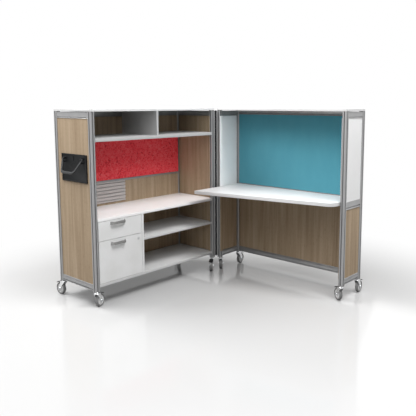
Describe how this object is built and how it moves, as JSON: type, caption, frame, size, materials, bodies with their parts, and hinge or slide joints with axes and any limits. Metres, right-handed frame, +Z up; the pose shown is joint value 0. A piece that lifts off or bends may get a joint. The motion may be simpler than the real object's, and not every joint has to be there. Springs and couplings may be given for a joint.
{
  "type": "mobile folding workstation",
  "caption": "Fold-up office workstation: a storage unit with shelves and drawers hinged to a desk unit with a worktop and tackboard, both in framed cases on braked casters.",
  "frame": {"origin": "middle of the whole part in plan, on the floor under the wheels, with the two units open at a right angle", "axes": "+Z up, +X along the desk unit's front away from the hinge (the storage unit's front faces +X), +Y towards the desk unit's back"},
  "size_m": [1.786, 1.6685, 1.418],
  "materials": {
    "aluminium": "satin anodised",
    "oak": "pale oak laminate, upright grain",
    "white_laminate": "white laminate",
    "red_felt": "heathered felt",
    "blue_cloth": "plain woven cloth",
    "grey_slats": "satin grey",
    "black_metal": "satin black",
    "black_plastic": "moulded black",
    "steel": "zinc plated",
    "satin_pull": "satin nickel",
    "chrome": "bright plated",
    "caster_tyre": "grey tread on a grey wheel centre"
  },
  "bodies": {
    "storage_unit": {"storage_posts": "aluminium", "storage_rails": "aluminium", "storage_wood_panels": "oak", "storage_top": "white_laminate", "overhead_shelf": "white_laminate", "shelf_divider": "white_laminate", "red_tackboard": "red_felt", "slatted_board": "grey_slats", "credenza_top": "white_laminate", "pedestal_side": "white_laminate", "middle_shelf": "white_laminate", "bottom_panel": "white_laminate", "drawer_slides_and_lock_rail": "steel", "handle_plate": "black_metal", "storage_hinge_leaf_and_pin": "black_metal"},
    "desk_unit": {"desk_posts": "aluminium", "desk_rails": "aluminium", "desk_wood_panels": "oak", "desk_white_panels": "white_laminate", "desk_top": "white_laminate", "blue_tackboard": "blue_cloth", "worktop": "white_laminate", "worktop_brackets": "steel", "desk_hinge_leaf": "black_metal"},
    "bail": {"bail_handle": "black_metal"},
    "box_drawer": {"box_drawer_box": "white_laminate", "box_drawer_front": "white_laminate", "box_drawer_pull": "satin_pull"},
    "box_drawer_slides": {"box_drawer_middle_slides": "steel"},
    "file_drawer": {"file_drawer_box": "white_laminate", "file_drawer_front": "white_laminate", "file_drawer_pull": "satin_pull"},
    "file_drawer_slides": {"file_drawer_middle_slides": "steel"},
    "lock": {"drawer_lock": "steel"},
    "storage_front_far_fork": {"storage_front_far_fork": "chrome"},
    "storage_front_far_wheel": {"storage_front_far_wheel": "caster_tyre"},
    "storage_front_far_brake": {"storage_front_far_brake": "black_plastic"},
    "storage_back_far_fork": {"storage_back_far_fork": "chrome"},
    "storage_back_far_wheel": {"storage_back_far_wheel": "caster_tyre"},
    "storage_back_far_brake": {"storage_back_far_brake": "black_plastic"},
    "storage_back_near_fork": {"storage_back_near_fork": "chrome"},
    "storage_back_near_wheel": {"storage_back_near_wheel": "caster_tyre"},
    "storage_back_near_brake": {"storage_back_near_brake": "black_plastic"},
    "storage_front_near_fork": {"storage_front_near_fork": "chrome"},
    "storage_front_near_wheel": {"storage_front_near_wheel": "caster_tyre"},
    "storage_front_near_brake": {"storage_front_near_brake": "black_plastic"},
    "desk_front_near_fork": {"desk_front_near_fork": "chrome"},
    "desk_front_near_wheel": {"desk_front_near_wheel": "caster_tyre"},
    "desk_front_near_brake": {"desk_front_near_brake": "black_plastic"},
    "desk_front_far_fork": {"desk_front_far_fork": "chrome"},
    "desk_front_far_wheel": {"desk_front_far_wheel": "caster_tyre"},
    "desk_front_far_brake": {"desk_front_far_brake": "black_plastic"},
    "desk_back_far_fork": {"desk_back_far_fork": "chrome"},
    "desk_back_far_wheel": {"desk_back_far_wheel": "caster_tyre"},
    "desk_back_far_brake": {"desk_back_far_brake": "black_plastic"},
    "desk_back_near_fork": {"desk_back_near_fork": "chrome"},
    "desk_back_near_wheel": {"desk_back_near_wheel": "caster_tyre"},
    "desk_back_near_brake": {"desk_back_near_brake": "black_plastic"}
  },
  "joints": [
    {"name": "unit_hinge", "type": "hinge", "parent": "storage_unit", "child": "desk_unit", "pos_m": [-0.36012, 0.48288, 0.758], "axis": [0, 0, 1], "range_deg": [-90, 90]},
    {"name": "box_drawer_slide", "type": "slide", "parent": "storage_unit", "child": "box_drawer", "axis": [1, 0, 0], "range_m": [0, 0.34]},
    {"name": "box_middle_slide", "type": "slide", "parent": "storage_unit", "child": "box_drawer_slides", "axis": [1, 0, 0], "range_m": [0, 0.17]},
    {"name": "file_drawer_slide", "type": "slide", "parent": "storage_unit", "child": "file_drawer", "axis": [1, 0, 0], "range_m": [0, 0.34]},
    {"name": "file_middle_slide", "type": "slide", "parent": "storage_unit", "child": "file_drawer_slides", "axis": [1, 0, 0], "range_m": [0, 0.17]},
    {"name": "lock_turn", "type": "hinge", "parent": "file_drawer", "child": "lock", "pos_m": [-0.37682, -0.37582, 0.446], "axis": [1, 0, 0], "range_deg": [0, 90]},
    {"name": "bail_swing", "type": "hinge", "parent": "storage_unit", "child": "bail", "pos_m": [-0.58482, -0.77882, 1.065], "axis": [-1, 0, 0], "range_deg": [0, 120]},
    {"name": "storage_front_far_swivel", "type": "hinge", "parent": "storage_unit", "child": "storage_front_far_fork", "pos_m": [-0.38682, -0.74882, 0.116], "axis": [0, 0, 1], "continuous": true},
    {"name": "storage_front_far_roll", "type": "hinge", "parent": "storage_front_far_fork", "child": "storage_front_far_wheel", "pos_m": [-0.40105, -0.71358, 0.046], "axis": [-0.9272, -0.3746, 0], "continuous": true},
    {"name": "storage_front_far_press", "type": "hinge", "parent": "storage_front_far_fork", "child": "storage_front_far_brake", "pos_m": [-0.39655, -0.72471, 0.1], "axis": [-0.9272, -0.3746, 0], "range_deg": [0, 6]},
    {"name": "storage_back_far_swivel", "type": "hinge", "parent": "storage_unit", "child": "storage_back_far_fork", "pos_m": [-0.80682, -0.74882, 0.116], "axis": [0, 0, 1], "continuous": true},
    {"name": "storage_back_far_roll", "type": "hinge", "parent": "storage_back_far_fork", "child": "storage_back_far_wheel", "pos_m": [-0.84467, -0.75213, 0.046], "axis": [0.0872, -0.9962, 0], "continuous": true},
    {"name": "storage_back_far_press", "type": "hinge", "parent": "storage_back_far_fork", "child": "storage_back_far_brake", "pos_m": [-0.83272, -0.75108, 0.1], "axis": [0.0872, -0.9962, 0], "range_deg": [0, 6]},
    {"name": "storage_back_near_swivel", "type": "hinge", "parent": "storage_unit", "child": "storage_back_near_fork", "pos_m": [-0.80682, 0.45618, 0.116], "axis": [0, 0, 1], "continuous": true},
    {"name": "storage_back_near_roll", "type": "hinge", "parent": "storage_back_near_fork", "child": "storage_back_near_wheel", "pos_m": [-0.84252, 0.46918, 0.046], "axis": [-0.342, -0.9397, 0], "continuous": true},
    {"name": "storage_back_near_press", "type": "hinge", "parent": "storage_back_near_fork", "child": "storage_back_near_brake", "pos_m": [-0.83125, 0.46507, 0.1], "axis": [-0.342, -0.9397, 0], "range_deg": [0, 6]},
    {"name": "storage_front_near_swivel", "type": "hinge", "parent": "storage_unit", "child": "storage_front_near_fork", "pos_m": [-0.38682, 0.45618, 0.116], "axis": [0, 0, 1], "range_deg": [-180, 30]},
    {"name": "storage_front_near_roll", "type": "hinge", "parent": "storage_front_near_fork", "child": "storage_front_near_wheel", "pos_m": [-0.36502, 0.42505, 0.046], "axis": [0.8192, 0.5736, 0], "continuous": true},
    {"name": "storage_front_near_press", "type": "hinge", "parent": "storage_front_near_fork", "child": "storage_front_near_brake", "pos_m": [-0.3719, 0.43488, 0.1], "axis": [0.8192, 0.5736, 0], "range_deg": [0, 6]},
    {"name": "desk_front_near_swivel", "type": "hinge", "parent": "desk_unit", "child": "desk_front_near_fork", "pos_m": [-0.33342, 0.50958, 0.116], "axis": [0, 0, -1], "range_deg": [-30, 180]},
    {"name": "desk_front_near_roll", "type": "hinge", "parent": "desk_front_near_fork", "child": "desk_front_near_wheel", "pos_m": [-0.35521, 0.54071, 0.046], "axis": [-0.8192, -0.5736, 0], "continuous": true},
    {"name": "desk_front_near_press", "type": "hinge", "parent": "desk_front_near_fork", "child": "desk_front_near_brake", "pos_m": [-0.34833, 0.53088, 0.1], "axis": [-0.8192, -0.5736, 0], "range_deg": [0, 6]},
    {"name": "desk_front_far_swivel", "type": "hinge", "parent": "desk_unit", "child": "desk_front_far_fork", "pos_m": [0.87158, 0.50958, 0.116], "axis": [0, 0, -1], "continuous": true},
    {"name": "desk_front_far_roll", "type": "hinge", "parent": "desk_front_far_fork", "child": "desk_front_far_wheel", "pos_m": [0.83901, 0.52915, 0.046], "axis": [-0.515, -0.8572, 0], "continuous": true},
    {"name": "desk_front_far_press", "type": "hinge", "parent": "desk_front_far_fork", "child": "desk_front_far_brake", "pos_m": [0.8493, 0.52297, 0.1], "axis": [-0.515, -0.8572, 0], "range_deg": [0, 6]},
    {"name": "desk_back_far_swivel", "type": "hinge", "parent": "desk_unit", "child": "desk_back_far_fork", "pos_m": [0.87158, 0.74958, 0.116], "axis": [0, 0, -1], "continuous": true},
    {"name": "desk_back_far_roll", "type": "hinge", "parent": "desk_back_far_fork", "child": "desk_back_far_wheel", "pos_m": [0.86827, 0.78744, 0.046], "axis": [-0.9962, -0.0872, 0], "continuous": true},
    {"name": "desk_back_far_press", "type": "hinge", "parent": "desk_back_far_fork", "child": "desk_back_far_brake", "pos_m": [0.86932, 0.77548, 0.1], "axis": [-0.9962, -0.0872, 0], "range_deg": [0, 6]},
    {"name": "desk_back_near_swivel", "type": "hinge", "parent": "desk_unit", "child": "desk_back_near_fork", "pos_m": [-0.33342, 0.74958, 0.116], "axis": [0, 0, -1], "continuous": true},
    {"name": "desk_back_near_roll", "type": "hinge", "parent": "desk_back_near_fork", "child": "desk_back_near_wheel", "pos_m": [-0.34001, 0.78701, 0.046], "axis": [-0.9848, -0.1736, 0], "continuous": true},
    {"name": "desk_back_near_press", "type": "hinge", "parent": "desk_back_near_fork", "child": "desk_back_near_brake", "pos_m": [-0.33793, 0.77519, 0.1], "axis": [-0.9848, -0.1736, 0], "range_deg": [0, 6]}
  ],
  "couplings": [
    {"joint": "box_middle_slide", "follows": "box_drawer_slide", "ratio": 0.5},
    {"joint": "file_middle_slide", "follows": "file_drawer_slide", "ratio": 0.5}
  ]
}
